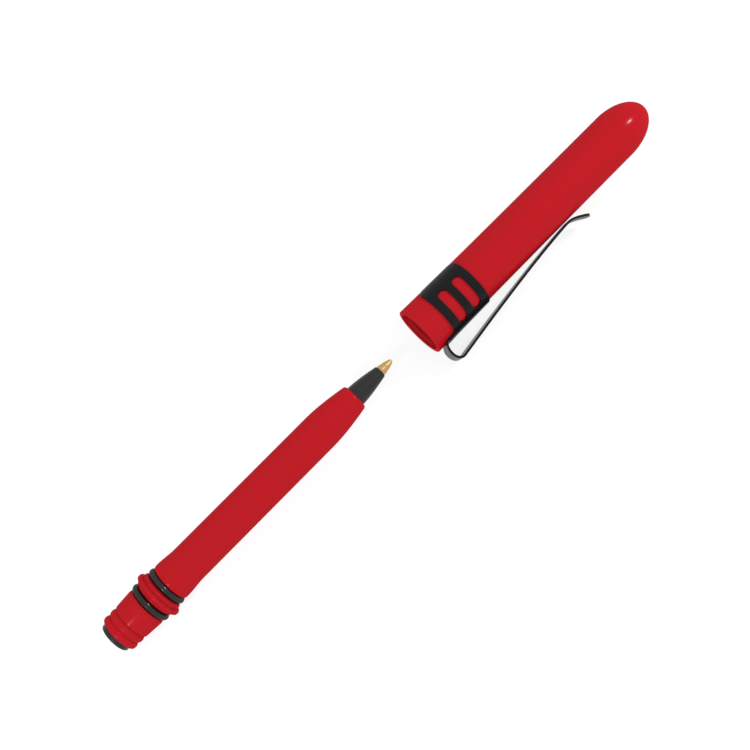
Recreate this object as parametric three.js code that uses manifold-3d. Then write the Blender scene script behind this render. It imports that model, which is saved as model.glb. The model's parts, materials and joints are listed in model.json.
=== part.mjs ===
// Pocket pen with its cap taken off and lying in line ahead of the nib.
// Millimetres. The pen's axis runs along X with the tail at -X, Z is up, and the pen lies on its side.
// Lengths along the pen are measured from the front face of the flange, where the closed cap stops.

import * as THREE from 'three';
import { mergeVertices } from 'three/addons/utils/BufferGeometryUtils.js';
import ManifoldModule from 'manifold-3d';

const manifold = await ManifoldModule();
manifold.setup();

// Barrel
const BARREL_RADIUS = 4.75;
const BARREL_WALL = 1.75;
const BARREL_FRONT_LENGTH = 64.22;
const BARREL_TAIL_LENGTH = 13;
const SWELL_PROUD = 0.36;
const SWELL_ROUNDING = 0.85;
const SWELL_FADE = 5.6;
const NOSE_TAPER_LENGTH = 10.7;
const NOSE_TAPER_DROP = 1.19;
const NOSE_TAPER_POWER = 1.6;
const NOSE_ROUNDING = 0.75;
const NOSE_LAND_LENGTH = 6;

// Flange with its shoulders, which the cap's mouth meets from either side
const FLANGE_PROUD = 1.52;
const FLANGE_WIDTH = 1.05;
const FLANGE_ROUNDING = 0.45;
const SHOULDER_PROUD = 0.68;
const FRONT_SHOULDER_WIDTH = 0.87;
const REAR_SHOULDER_WIDTH = 0.58;
const LAND_PROUD = 0.2;
const LAND_WIDTH = 0.37;

// Sealing rings and their grooves
const RING_SECTION = 1.78;
const FRONT_RING_PROUD = 0.59;
const REAR_RING_PROUD = 0.76;
const RING_CLEARANCE = 0.04;

// Tail spigot with its ribs, and the plug that closes it
const SPIGOT_FRONT_PROUD = 0.43;
const SPIGOT_REAR_PROUD = 0.13;
const SPIGOT_CHAMFER = 0.6;
const RIB_PITCH = 2;
const RIB_CUT = 0.4;
const RIB_VALLEY_DEPTH = 0.27;
const RIB_HEIGHT = 0.43;
const PLUG_RADIUS = 3.96;
const PLUG_THICKNESS = 1.36;
const PLUG_ROUNDING = 0.4;
const PLUG_STEM_LENGTH = 6;

// Refill: tip holder, writing tip, ball, tube and ink
const HOLDER_RADIUS = 2.71;
const HOLDER_CONE_LENGTH = 8.48;
const HOLDER_CONE_DROP = 1.17;
const HOLDER_CONE_POWER = 1.5;
const HOLDER_ROUNDING = 0.18;
const HOLDER_SHOULDER_LENGTH = 1.2;
const HOLDER_SPIGOT_LENGTH = 5;
const INK_CHANNEL_RADIUS = 0.5;
const TUBE_RADIUS = 2.2;
const TUBE_WALL = 0.5;
const TUBE_END_ROOM = 0.3;
const INK_LENGTH = 42;
const FOLLOWER_LENGTH = 4.5;
const TIP_RADIUS = 1.33;
const TIP_COLLAR_LENGTH = 0.6;
const TIP_STEP = 0.06;
const TIP_TAPER_LENGTH = 1.05;
const TIP_NECK_RADIUS = 1;
const TIP_NECK_LENGTH = 0.3;
const TIP_CONE_LENGTH = 1.7;
const TIP_SHANK_RADIUS = 1;
const TIP_SHANK_LENGTH = 3;
const BALL_RADIUS = 0.4;
const BALL_CLEARANCE = 0.04;
const BALL_LIP_SETBACK = 0.22;
const BALL_LIP_WALL = 0.1;
const BALL_CHANNEL_RADIUS = 0.22;
const FIT_CLEARANCE = 0.04;

// Cap
const SEAL_CLEARANCE = 0.05;
const CAP_WALL = 0.92;
const CAP_MOUTH_FLARE = 0.41;
const CAP_FLARE_LENGTH = 18;
const CAP_DOME_LENGTH = 10.5;
const CAP_END_WALL = 1.77;
const CAP_TIP_ROOM = 1.77;
const CAP_LEAD_IN_DEPTH = 1.4;
const CAP_LEAD_IN_CLEARANCE = 0.17;
const CAP_MOUTH_ROUNDING = 0.25;
const CAP_OFF_GAP = 9.44;

// Spring clip, bent from one strip of sheet: a slotted collar round the cap, a leg, a bend and an arm
const SHEET = 0.38;
const COLLAR_CLEARANCE = 0.03;
const COLLAR_SETBACK = 5.82;
const COLLAR_LENGTH = 11.6;
const COLLAR_HALF_ANGLE = 160;
const COLLAR_CORNER = 1.8;
const SLOT_WIDTH = 2.7;
const SLOT_SPACING = 4.67;
const SLOT_FROM_ANGLE = 36;
const SLOT_TO_ANGLE = 122;
const STRIP_WIDTH = 7;
const LEG_CLEARANCE = 0.05;
const LEG_ROOT_LENGTH = 1.5;
const LEG_FILLET = 1.1;
const BEND_DROP = 4.4;
const BEND_HEIGHT = 4.38;
const BEND_RETURN = 2.5;
const BEND_SPLIT = 0.06;
const ARM_LENGTH = 42.3;
const ARM_GAP = 0.23;
const TIP_LENGTH = 7;
const TIP_LIFT = 2.85;
const TIP_CORNER = 1.6;

// Facets round a turned piece
const FINE = 48;
const MEDIUM = 40;
const COARSE = 28;
const SMALL = 20;
const RING_FACETS = 10;

const radians = THREE.MathUtils.degToRad;

// Sizes that follow from the ones above
const barrelBore = BARREL_RADIUS - BARREL_WALL;
const flangeRadius = BARREL_RADIUS + FLANGE_PROUD;
const shoulderRadius = BARREL_RADIUS + SHOULDER_PROUD;
const landRadius = BARREL_RADIUS + LAND_PROUD;
const frontRingRadius = BARREL_RADIUS + FRONT_RING_PROUD;
const rearRingRadius = BARREL_RADIUS + REAR_RING_PROUD;
const grooveWidth = RING_SECTION + 2 * RING_CLEARANCE;
const frontGroove = FRONT_SHOULDER_WIDTH + LAND_WIDTH;
const rearGroove = -FLANGE_WIDTH - REAR_SHOULDER_WIDTH - LAND_WIDTH;
const holderHole = HOLDER_RADIUS + FIT_CLEARANCE;
const holderFront = BARREL_FRONT_LENGTH + HOLDER_CONE_LENGTH;
const holderShoulder = BARREL_FRONT_LENGTH - NOSE_LAND_LENGTH - FIT_CLEARANCE;
const holderRear = holderShoulder - HOLDER_SHOULDER_LENGTH;
const tubeBore = TUBE_RADIUS - TUBE_WALL;
const tubeFront = holderRear - FIT_CLEARANCE;
const plugStemFront = -BARREL_TAIL_LENGTH + PLUG_STEM_LENGTH;
const tubeRear = plugStemFront + TUBE_END_ROOM;
const inkFront = holderRear - HOLDER_SPIGOT_LENGTH - FIT_CLEARANCE;
const tipBase = holderFront + FIT_CLEARANCE;
const tipEnd = tipBase + TIP_COLLAR_LENGTH + TIP_TAPER_LENGTH + TIP_NECK_LENGTH + TIP_CONE_LENGTH;
const ballCentre = tipEnd - BALL_LIP_SETBACK;
const nibEnd = ballCentre + BALL_RADIUS;

const capBore = frontRingRadius + SEAL_CLEARANCE;
const capRadius = capBore + CAP_WALL;
const capDepth = nibEnd + CAP_TIP_ROOM;
const capLength = capDepth + CAP_END_WALL;
const capDomeStart = capLength - CAP_DOME_LENGTH;
const capMouth = nibEnd + CAP_OFF_GAP;
const capLeadIn = shoulderRadius + CAP_LEAD_IN_CLEARANCE;

// Outline helpers. An outline is a list of [distance along the axis, radius].

// Points of an arc of an ellipse, from one angle to another in degrees
function arc(centreAlong, centreRadius, halfAlong, halfRadius, from, to, steps) {
  return Array.from({ length: steps + 1 }, (_, i) => {
    const angle = radians(from + ((to - from) * i) / steps);
    return [centreAlong + halfAlong * Math.cos(angle), centreRadius + halfRadius * Math.sin(angle)];
  });
}

// Points of a radius that is a function of the distance along the axis. A crowding of 1 spaces them evenly, and
// more draws them towards the start.
function curve(from, to, steps, radiusAt, crowding = 1) {
  return Array.from({ length: steps + 1 }, (_, i) => {
    const along = from + (to - from) * (i / steps) ** crowding;
    return [along, radiusAt(along)];
  });
}

// A piece turned about X. The outline runs forwards outside and back inside, or starts and ends on the axis.
function turned(outline, facets) {
  const points = outline.map(([along, radius]) => new THREE.Vector2(radius, along));
  return new THREE.LatheGeometry(points, facets).rotateZ(-Math.PI / 2);
}

// A hollow turned piece, whose outline closes on itself
function turnedHollow(outline, facets) {
  return turned([...outline, outline[0]], facets);
}

// A turned ring of round section
function ring(radius, section, facets, sectionFacets) {
  return turned(arc(0, radius - section / 2, section / 2, section / 2, 180, -180, sectionFacets), facets);
}

// Sheet and strip helpers

// One closed skin through a row of loops with equal counts of points. Each loop runs along the outer face of
// the sheet and back along its inner face, so that its first and last halves pair off to close the two ends.
function loft(loops) {
  const count = loops[0].length;
  const last = (loops.length - 1) * count;
  const triangles = [];
  for (let row = 0; row < last; row += count) {
    for (let i = 0; i < count; i++) {
      const next = (i + 1) % count;
      triangles.push(row + i, row + next, row + count + next);
      triangles.push(row + i, row + count + next, row + count + i);
    }
  }
  for (let i = 0; i < count / 2 - 1; i++) {
    const across = count - 1 - i;
    triangles.push(i, across - 1, i + 1, i, across, across - 1);
    triangles.push(last + i, last + i + 1, last + across - 1, last + i, last + across - 1, last + across);
  }
  const geometry = new THREE.BufferGeometry().setFromPoints(loops.flat());
  geometry.setIndex(enclosedVolume(loops.flat(), triangles) < 0 ? triangles.reverse() : triangles);
  return geometry;
}

function enclosedVolume(points, triangles) {
  let volume = 0;
  for (let i = 0; i < triangles.length; i += 3) {
    const [a, b, c] = triangles.slice(i, i + 3).map((index) => points[index]);
    volume += a.dot(b.clone().cross(c)) / 6;
  }
  return volume;
}

function toSolid(geometry) {
  const bare = geometry.clone();
  bare.deleteAttribute('normal');
  bare.deleteAttribute('uv');
  const merged = mergeVertices(bare);
  const mesh = new manifold.Mesh({
    numProp: 3,
    vertProperties: new Float32Array(merged.attributes.position.array),
    triVerts: new Uint32Array(merged.index.array),
  });
  return new manifold.Manifold(mesh);
}

function toGeometry(solid) {
  const mesh = solid.getMesh();
  const geometry = new THREE.BufferGeometry();
  geometry.setAttribute('position', new THREE.BufferAttribute(new Float32Array(mesh.vertProperties), 3));
  geometry.setIndex(Array.from(mesh.triVerts));
  return geometry;
}

// Barrel: tail spigot with two ribs, the rear one cut short by the end, then a ring groove either side of the
// flange, the swell, and the tapered nose
function barrelOutline() {
  const tail = -BARREL_TAIL_LENGTH;
  const ribEnd = tail - RIB_CUT + 2 * RIB_PITCH;
  const ribMiddle = ribEnd - RIB_PITCH;
  const valley = BARREL_RADIUS - RIB_VALLEY_DEPTH;
  const ribRadius = (along) => valley + RIB_HEIGHT * Math.abs(Math.sin((Math.PI * (along - ribEnd)) / RIB_PITCH));
  const frontFloor = frontRingRadius - RING_SECTION - RING_CLEARANCE;
  const rearFloor = rearRingRadius - RING_SECTION - RING_CLEARANCE;
  const swellStart = frontGroove + grooveWidth;
  const swellPeak = swellStart + SWELL_ROUNDING;
  const swellRadius = BARREL_RADIUS + SWELL_PROUD;
  const swellFall = (along) => {
    const share = (along - swellPeak) / SWELL_FADE;
    return BARREL_RADIUS + (SWELL_PROUD * (1 + Math.cos(Math.PI * share))) / 2;
  };
  const noseRound = BARREL_FRONT_LENGTH - NOSE_ROUNDING;
  const taperStart = noseRound - NOSE_TAPER_LENGTH;
  const taperRadius = (along) =>
    BARREL_RADIUS - NOSE_TAPER_DROP * ((along - taperStart) / NOSE_TAPER_LENGTH) ** NOSE_TAPER_POWER;
  const noseRadius = BARREL_RADIUS - NOSE_TAPER_DROP;
  return [
    ...curve(tail, ribMiddle, 5, ribRadius),
    ...curve(ribMiddle, ribEnd, 6, ribRadius).slice(1),
    [ribEnd + LAND_WIDTH, BARREL_RADIUS + SPIGOT_REAR_PROUD],
    [rearGroove - grooveWidth - SPIGOT_CHAMFER, BARREL_RADIUS + SPIGOT_FRONT_PROUD],
    [rearGroove - grooveWidth, BARREL_RADIUS + SPIGOT_REAR_PROUD],
    [rearGroove - grooveWidth, rearFloor],
    [rearGroove, rearFloor],
    [rearGroove, landRadius],
    [-FLANGE_WIDTH - REAR_SHOULDER_WIDTH, shoulderRadius],
    [-FLANGE_WIDTH, shoulderRadius],
    ...arc(-FLANGE_WIDTH + FLANGE_ROUNDING, flangeRadius - FLANGE_ROUNDING, FLANGE_ROUNDING, FLANGE_ROUNDING, 180, 90, 3),
    ...arc(-FLANGE_ROUNDING, flangeRadius - FLANGE_ROUNDING, FLANGE_ROUNDING, FLANGE_ROUNDING, 90, 0, 3),
    [0, shoulderRadius],
    [FRONT_SHOULDER_WIDTH, shoulderRadius],
    [frontGroove, landRadius],
    [frontGroove, frontFloor],
    [swellStart, frontFloor],
    ...arc(swellPeak, BARREL_RADIUS, SWELL_ROUNDING, SWELL_PROUD, 180, 90, 4),
    ...curve(swellPeak, swellPeak + SWELL_FADE, 6, swellFall).slice(1),
    ...curve(taperStart, noseRound, 7, taperRadius),
    ...arc(noseRound, noseRadius - NOSE_ROUNDING, NOSE_ROUNDING, NOSE_ROUNDING, 90, 0, 4).slice(1),
    [BARREL_FRONT_LENGTH, holderHole],
    [BARREL_FRONT_LENGTH - NOSE_LAND_LENGTH, holderHole],
    [BARREL_FRONT_LENGTH - NOSE_LAND_LENGTH, barrelBore],
    [tail, barrelBore],
  ];
}

// Plug: a disc that caps the tail, with a stem pressed into the bore
function plugOutline() {
  const face = -BARREL_TAIL_LENGTH - FIT_CLEARANCE;
  const rear = face - PLUG_THICKNESS;
  const stemRadius = barrelBore - FIT_CLEARANCE;
  return [
    [rear, 0],
    ...arc(rear + PLUG_ROUNDING, PLUG_RADIUS - PLUG_ROUNDING, PLUG_ROUNDING, PLUG_ROUNDING, 180, 90, 3),
    [face, PLUG_RADIUS],
    [face, stemRadius],
    [plugStemFront - PLUG_ROUNDING, stemRadius],
    [plugStemFront, stemRadius - PLUG_ROUNDING],
    [plugStemFront, 0],
  ];
}

// Tip holder: a cone ahead of the barrel, a shoulder that stops it inside, and a spigot for the ink tube
function holderOutline() {
  const spigotRear = holderRear - HOLDER_SPIGOT_LENGTH;
  const spigotRadius = tubeBore - FIT_CLEARANCE;
  const shoulder = barrelBore - FIT_CLEARANCE;
  const coneEnd = holderFront - HOLDER_ROUNDING;
  const coneRadius = (along) => {
    const share = (along - BARREL_FRONT_LENGTH) / HOLDER_CONE_LENGTH;
    return HOLDER_RADIUS - HOLDER_CONE_DROP * share ** HOLDER_CONE_POWER;
  };
  const socket = TIP_SHANK_RADIUS + FIT_CLEARANCE;
  const socketFloor = holderFront - TIP_SHANK_LENGTH - 2 * FIT_CLEARANCE;
  return [
    [spigotRear, spigotRadius],
    [holderRear, spigotRadius],
    [holderRear, shoulder],
    [holderShoulder, shoulder],
    [holderShoulder, HOLDER_RADIUS],
    ...curve(BARREL_FRONT_LENGTH, coneEnd, 6, coneRadius),
    [holderFront, coneRadius(coneEnd) - HOLDER_ROUNDING],
    [holderFront, socket],
    [socketFloor, socket],
    [socketFloor, INK_CHANNEL_RADIUS],
    [spigotRear, INK_CHANNEL_RADIUS],
  ];
}

// Writing tip: shank, collar, taper, neck and cone, with the ball's seat turned into its end
function tipOutline() {
  const seatRadius = BALL_RADIUS + BALL_CLEARANCE;
  const lipRadius = Math.sqrt(seatRadius ** 2 - BALL_LIP_SETBACK ** 2);
  const lipAngle = THREE.MathUtils.radToDeg(Math.acos(BALL_LIP_SETBACK / seatRadius));
  const channelAngle = 180 - THREE.MathUtils.radToDeg(Math.asin(BALL_CHANNEL_RADIUS / seatRadius));
  const shankRear = tipBase - TIP_SHANK_LENGTH;
  const collarEnd = tipBase + TIP_COLLAR_LENGTH;
  const taperEnd = collarEnd + TIP_TAPER_LENGTH;
  return [
    [shankRear, TIP_SHANK_RADIUS],
    [tipBase, TIP_SHANK_RADIUS],
    [tipBase, TIP_RADIUS],
    [collarEnd, TIP_RADIUS],
    [collarEnd, TIP_RADIUS - TIP_STEP],
    [taperEnd, TIP_NECK_RADIUS],
    [taperEnd + TIP_NECK_LENGTH, TIP_NECK_RADIUS],
    [tipEnd, lipRadius + BALL_LIP_WALL],
    ...arc(ballCentre, 0, seatRadius, seatRadius, lipAngle, channelAngle, 6),
    [shankRear, BALL_CHANNEL_RADIUS],
  ];
}

function ball() {
  return new THREE.SphereGeometry(BALL_RADIUS, SMALL, SMALL / 2).translate(ballCentre, 0, 0);
}

function tubeOutline() {
  return [
    [tubeRear, TUBE_RADIUS],
    [tubeFront, TUBE_RADIUS],
    [tubeFront, tubeBore],
    [tubeRear, tubeBore],
  ];
}

// A slug of ink or grease that fills the tube's bore
function slugOutline(rear, front) {
  const radius = tubeBore - FIT_CLEARANCE;
  return [
    [rear, 0],
    [rear, radius],
    [front, radius],
    [front, 0],
  ];
}

// Outer radius of the cap at a distance from its mouth: the flare at the mouth dies away along the cap
function capRadiusAt(along) {
  return capRadius + CAP_MOUTH_FLARE * Math.exp(-along / CAP_FLARE_LENGTH);
}

// Cap: flared mouth with a lead-in, straight bore for the sealing ring, and a domed end
function capOutline() {
  const domeRadius = capRadiusAt(capDomeStart);
  const innerDome = CAP_DOME_LENGTH - CAP_WALL;
  const mouthRadius = capRadiusAt(0);
  return [
    ...arc(CAP_MOUTH_ROUNDING, mouthRadius - CAP_MOUTH_ROUNDING, CAP_MOUTH_ROUNDING, CAP_MOUTH_ROUNDING, 180, 90, 3),
    ...curve(COLLAR_SETBACK / 2, capDomeStart, 8, capRadiusAt, 2),
    ...arc(capDomeStart, 0, CAP_DOME_LENGTH, domeRadius, 90, 0, 10).slice(1),
    ...arc(capDepth - innerDome, 0, innerDome, capBore, 0, 90, 7),
    [CAP_LEAD_IN_DEPTH, capBore],
    [CAP_LEAD_IN_DEPTH - SEAL_CLEARANCE, capLeadIn],
    [0, capLeadIn],
  ];
}

// Place on the cap's skin, at an angle from the clip, a distance from the mouth and a height above the skin
function onCap(angle, along, height) {
  const radius = capRadiusAt(along) + height;
  return new THREE.Vector3(along, radius * Math.sin(angle), radius * Math.cos(angle));
}

// Half the width that round corners leave to a band, at a distance from its end
function roundedHalf(half, corner, fromEnd) {
  const inset = Math.max(corner - fromEnd, 0);
  return half - corner + Math.sqrt(Math.max(corner ** 2 - inset ** 2, 0));
}

// Angles in radians from one end of a band to the other, closer together at its round ends
function bandAngles(from, to, corner, middleSteps) {
  const end = corner / (capRadius + SHEET);
  const shares = [0, 0.1, 0.4, 1];
  const middle = Array.from({ length: middleSteps - 1 }, (_, i) => {
    return from + end + ((to - from - 2 * end) * (i + 1)) / middleSteps;
  });
  return [
    ...shares.map((share) => from + end * share),
    ...middle,
    ...shares.map((share) => to - end * share).reverse(),
  ];
}

// A band round the cap: its half width at each angle comes from its length and its round ends
function band(centre, half, corner, fromDegrees, toDegrees, low, high, middleSteps) {
  const from = radians(fromDegrees);
  const to = radians(toDegrees);
  const loops = bandAngles(from, to, corner, middleSteps).map((angle) => {
    const fromEnd = Math.min(angle - from, to - angle) * (capRadius + SHEET);
    const reach = roundedHalf(half, corner, fromEnd) + (corner === half ? SHEET / 4 : 0);
    return [
      onCap(angle, centre - reach, high),
      onCap(angle, centre + reach, high),
      onCap(angle, centre + reach, low),
      onCap(angle, centre - reach, low),
    ];
  });
  return toSolid(loft(loops));
}

// Middle line of the strip from the collar to the bend, and from the bend to the clip's tip: points with x along
// the cap and y out from its axis
const collarEnd = COLLAR_SETBACK + COLLAR_LENGTH;
const bendAlong = COLLAR_SETBACK - BEND_DROP;
const legHeight = capRadiusAt(bendAlong) + LEG_CLEARANCE + SHEET / 2;
const bendMiddle = legHeight + BEND_HEIGHT * 0.52;
const armFoot = new THREE.Vector2(bendAlong + BEND_RETURN, legHeight + BEND_HEIGHT);
const kinkAlong = bendAlong + ARM_LENGTH;
const kink = new THREE.Vector2(kinkAlong, capRadiusAt(kinkAlong) + ARM_GAP + SHEET / 2);
const armSlope = (armFoot.y - kink.y) / (kink.x - armFoot.x);

function bezier(...points) {
  return new THREE.CubicBezierCurve(...points.map(([x, y]) => new THREE.Vector2(x, y)));
}

// The leg ends flat beside the mouth and turns out to the middle of the bend
function lowerBend() {
  return bezier(
    [bendAlong + BEND_RETURN * 0.85, legHeight],
    [bendAlong + BEND_RETURN * 0.3, legHeight],
    [bendAlong, legHeight + BEND_HEIGHT * 0.22],
    [bendAlong, bendMiddle - BEND_SPLIT / 2],
  );
}

function upperBend() {
  const handle = BEND_RETURN * 0.66;
  return bezier(
    [bendAlong, bendMiddle + BEND_SPLIT / 2],
    [bendAlong, armFoot.y - BEND_HEIGHT * 0.17],
    [armFoot.x - handle, armFoot.y + handle * armSlope * 1.27],
    [armFoot.x, armFoot.y],
  );
}

// The arm runs back down towards the cap, bowed a little, and levels out at the kink
function armCurve() {
  const reach = kink.x - armFoot.x;
  return bezier(
    [armFoot.x, armFoot.y],
    [armFoot.x + reach * 0.32, armFoot.y - reach * 0.32 * armSlope * 1.27],
    [kink.x - reach * 0.24, kink.y + reach * 0.24 * armSlope * 0.34],
    [kink.x, kink.y],
  );
}

// The tip lifts away from the cap so that cloth can slip under it
function tipCurve() {
  return bezier(
    [kink.x, kink.y],
    [kink.x + TIP_LENGTH * 0.33, kink.y],
    [kink.x + TIP_LENGTH * 0.52, kink.y + TIP_LIFT * 0.35],
    [kink.x + TIP_LENGTH, kink.y + TIP_LIFT],
  );
}

// One loop of the strip's section. Across the strip, a curl of 1 follows the cap and 0 is flat.
function stripLoop(point, normal, halfWidth, halfThick, curl, columns) {
  const row = (side) =>
    Array.from({ length: columns + 1 }, (_, i) => {
      const offset = halfWidth * ((2 * i) / columns - 1);
      const radius = point.y + normal.y * side * halfThick;
      const angle = offset / radius;
      const across = THREE.MathUtils.lerp(offset, radius * Math.sin(angle), curl);
      const out = THREE.MathUtils.lerp(radius, radius * Math.cos(angle), curl);
      return new THREE.Vector3(point.x + normal.x * side * halfThick, across, out);
    });
  return [...row(1), ...row(-1).reverse()];
}

// Points and normals along a chain of curves, with a number of steps for each
function stations(curves) {
  return curves.flatMap(([line, steps], index) =>
    Array.from({ length: steps + 1 }, (_, i) => {
      const tangent = line.getTangent(i / steps);
      return { point: line.getPoint(i / steps), normal: new THREE.Vector2(-tangent.y, tangent.x) };
    }).slice(index === 0 ? 0 : 1),
  );
}

// Collar with its slots, and the tongue, leg and half bend that leave its lower edge
function clipCollar() {
  const middle = COLLAR_SETBACK + COLLAR_LENGTH / 2;
  const low = COLLAR_CLEARANCE;
  const high = COLLAR_CLEARANCE + SHEET;
  let solid = band(middle, COLLAR_LENGTH / 2, COLLAR_CORNER, -COLLAR_HALF_ANGLE, COLLAR_HALF_ANGLE, low, high, 52);
  solid = solid.add(clipLeg());
  for (const along of [middle - SLOT_SPACING / 2, middle + SLOT_SPACING / 2]) {
    for (const [from, to] of [
      [SLOT_FROM_ANGLE, SLOT_TO_ANGLE],
      [-SLOT_TO_ANGLE, -SLOT_FROM_ANGLE],
    ]) {
      solid = solid.subtract(band(along, SLOT_WIDTH / 2, SLOT_WIDTH / 2, from, to, -SHEET, 3 * SHEET, 12));
    }
  }
  return toGeometry(solid);
}

// Half width of the leg: it widens in a round corner to meet the collar's edge
function legHalf(along) {
  const intoFillet = THREE.MathUtils.clamp(along - COLLAR_SETBACK + LEG_FILLET, 0, LEG_FILLET);
  return STRIP_WIDTH / 2 + LEG_FILLET - Math.sqrt(LEG_FILLET ** 2 - intoFillet ** 2);
}

// The leg starts inside the collar's sheet and follows the cap's curve to the bend, where it flattens
function clipLeg() {
  const columns = 6;
  const corner = [0, 0.1, 0.3, 0.6, 1].map((share) => COLLAR_SETBACK - LEG_FILLET * share);
  const root = [COLLAR_SETBACK + LEG_ROOT_LENGTH, ...corner];
  const tongue = root.map((along, i) => {
    const onCollar = capRadiusAt(along) + COLLAR_CLEARANCE + SHEET / 2;
    const point = new THREE.Vector2(along, THREE.MathUtils.lerp(onCollar, legHeight, i / root.length));
    const thickness = i === 0 ? SHEET * 0.8 : SHEET;
    return stripLoop(point, new THREE.Vector2(0, 1), legHalf(along), thickness / 2, 1, columns);
  });
  const turn = stations([[lowerBend(), 8]]).map(({ point, normal }, i) => {
    const curl = 1 - THREE.MathUtils.smoothstep(i, 0, 5);
    return stripLoop(point, normal.negate(), STRIP_WIDTH / 2, SHEET / 2, curl, columns);
  });
  return toSolid(loft([...tongue, ...turn]));
}

// Half bend, arm and lifted tip, whose end has round corners
function clipArm() {
  const line = stations([
    [upperBend(), 8],
    [armCurve(), 12],
    [tipCurve(), 10],
  ]);
  const end = line.at(-1).point;
  const loops = line.map(({ point, normal }) => {
    const half = roundedHalf(STRIP_WIDTH / 2, TIP_CORNER, point.distanceTo(end));
    return stripLoop(point, normal.negate(), half, SHEET / 2, 0, 1);
  });
  return loft(loops);
}

// Finishes, from the photograph
function finish(color, roughness, metalness) {
  return new THREE.MeshStandardMaterial({ color, roughness, metalness });
}
const redPlastic = finish(0xc2202b, 0.45, 0);
const blackRubber = finish(0x1c1c1a, 0.6, 0);
const blackPlastic = finish(0x2c2b2d, 0.5, 0);
const darkSteel = finish(0x2a2b2e, 0.35, 0.8);
const brass = finish(0xc79a55, 0.3, 1);
const carbide = finish(0x8a8a88, 0.2, 1);
const clearPlastic = finish(0xe4e2da, 0.4, 0);
const blueInk = finish(0x14202f, 0.3, 0);
const grease = finish(0xd8c98a, 0.5, 0);

function piece(name, geometry, material) {
  const mesh = new THREE.Mesh(geometry, material);
  mesh.name = name;
  return mesh;
}

function ringPiece(name, radius, grooveRear) {
  const mesh = piece(name, ring(radius, RING_SECTION, MEDIUM, RING_FACETS), blackRubber);
  mesh.position.x = grooveRear + grooveWidth / 2;
  return mesh;
}

// The pen's body: barrel, rings, plug and refill
const body = new THREE.Group();
body.add(
  piece('barrel', turnedHollow(barrelOutline(), MEDIUM), redPlastic),
  ringPiece('front_o_ring', frontRingRadius, frontGroove),
  ringPiece('rear_o_ring', rearRingRadius, rearGroove - grooveWidth),
  piece('tail_plug', turned(plugOutline(), COARSE), blackPlastic),
  piece('tip_holder', turnedHollow(holderOutline(), COARSE), blackPlastic),
  piece('writing_tip', turnedHollow(tipOutline(), SMALL), brass),
  piece('writing_ball', ball(), carbide),
  piece('ink_tube', turnedHollow(tubeOutline(), COARSE), clearPlastic),
  piece('ink_column', turned(slugOutline(inkFront - INK_LENGTH, inkFront), SMALL), blueInk),
  piece(
    'ink_follower',
    turned(slugOutline(inkFront - INK_LENGTH - FIT_CLEARANCE - FOLLOWER_LENGTH, inkFront - INK_LENGTH - FIT_CLEARANCE), SMALL),
    grease,
  ),
);

// The cap and its clip. The clip is rolled down until its edge meets the ground that the collar lies on.
const collarOuter = capRadiusAt(COLLAR_SETBACK) + COLLAR_CLEARANCE + SHEET;
const clipOuter = armFoot.y + SHEET;
const clipReach = Math.hypot(clipOuter, STRIP_WIDTH / 2);
const clipRoll = Math.asin(collarOuter / clipReach) - Math.atan2(STRIP_WIDTH / 2, clipOuter);
const clip = new THREE.Group();
clip.rotation.x = Math.PI / 2 + clipRoll;
clip.add(piece('clip_collar', clipCollar(), darkSteel), piece('clip_arm', clipArm(), darkSteel));

const cap = new THREE.Group();
cap.position.x = capMouth;
cap.add(piece('cap_shell', turnedHollow(capOutline(), FINE), redPlastic), clip);

// The origin is on the ground, under the middle of the pen's box
const pen = new THREE.Group();
pen.add(body, cap);
const box = new THREE.Box3().setFromObject(pen, true);
const middle = box.getCenter(new THREE.Vector3());
pen.position.set(-middle.x, -middle.y, -box.min.z);

const pocketPen = new THREE.Group();
pocketPen.add(pen);

export default pocketPen;
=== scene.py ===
"""Pocket pen, drawn open with its cap in line ahead of the nib.

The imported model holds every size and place. This script finds the pen's axis, the barrel's front, the cap's mouth
and the clip's roll in it, makes a fine surface for each piece that shows, and gives every piece its finish. The
fields of the classes are in millimetres and degrees unless they say otherwise, and the scene is in metres.
"""

import json
import logging
import math
from collections.abc import Callable, Sequence
from dataclasses import dataclass, field
from enum import Enum

import bmesh
import bpy
import numpy as np
from bpy.types import ID, Material, Mesh, Node, NodeSocket, NodeTree, Object, VertexGroup
from mathutils import Matrix, Vector


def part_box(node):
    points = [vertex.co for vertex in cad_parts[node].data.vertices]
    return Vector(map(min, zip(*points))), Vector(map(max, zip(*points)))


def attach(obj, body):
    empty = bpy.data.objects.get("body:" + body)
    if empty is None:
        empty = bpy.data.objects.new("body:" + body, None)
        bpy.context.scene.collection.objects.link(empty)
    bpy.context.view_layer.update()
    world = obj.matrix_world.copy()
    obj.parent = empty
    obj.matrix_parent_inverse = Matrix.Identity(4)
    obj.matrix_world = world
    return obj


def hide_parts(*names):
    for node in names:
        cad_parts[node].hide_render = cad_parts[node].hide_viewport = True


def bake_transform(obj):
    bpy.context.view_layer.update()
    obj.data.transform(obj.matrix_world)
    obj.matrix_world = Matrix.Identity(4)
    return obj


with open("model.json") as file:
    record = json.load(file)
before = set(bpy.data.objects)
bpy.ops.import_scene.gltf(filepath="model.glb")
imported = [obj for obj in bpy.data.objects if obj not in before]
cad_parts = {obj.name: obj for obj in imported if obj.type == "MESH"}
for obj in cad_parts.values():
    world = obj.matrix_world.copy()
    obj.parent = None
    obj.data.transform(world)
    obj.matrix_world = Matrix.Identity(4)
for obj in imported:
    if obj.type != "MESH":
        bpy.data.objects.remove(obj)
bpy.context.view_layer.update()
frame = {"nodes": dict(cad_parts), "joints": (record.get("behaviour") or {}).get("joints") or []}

MM = 0.001
WHITE = (1.0, 1.0, 1.0, 1.0)
# Points closer than this are merged, in metres: in a turned piece, and along the seams of the clip's sheet.
WELD = 1e-7
SEAM_WELD = 2e-6
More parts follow.
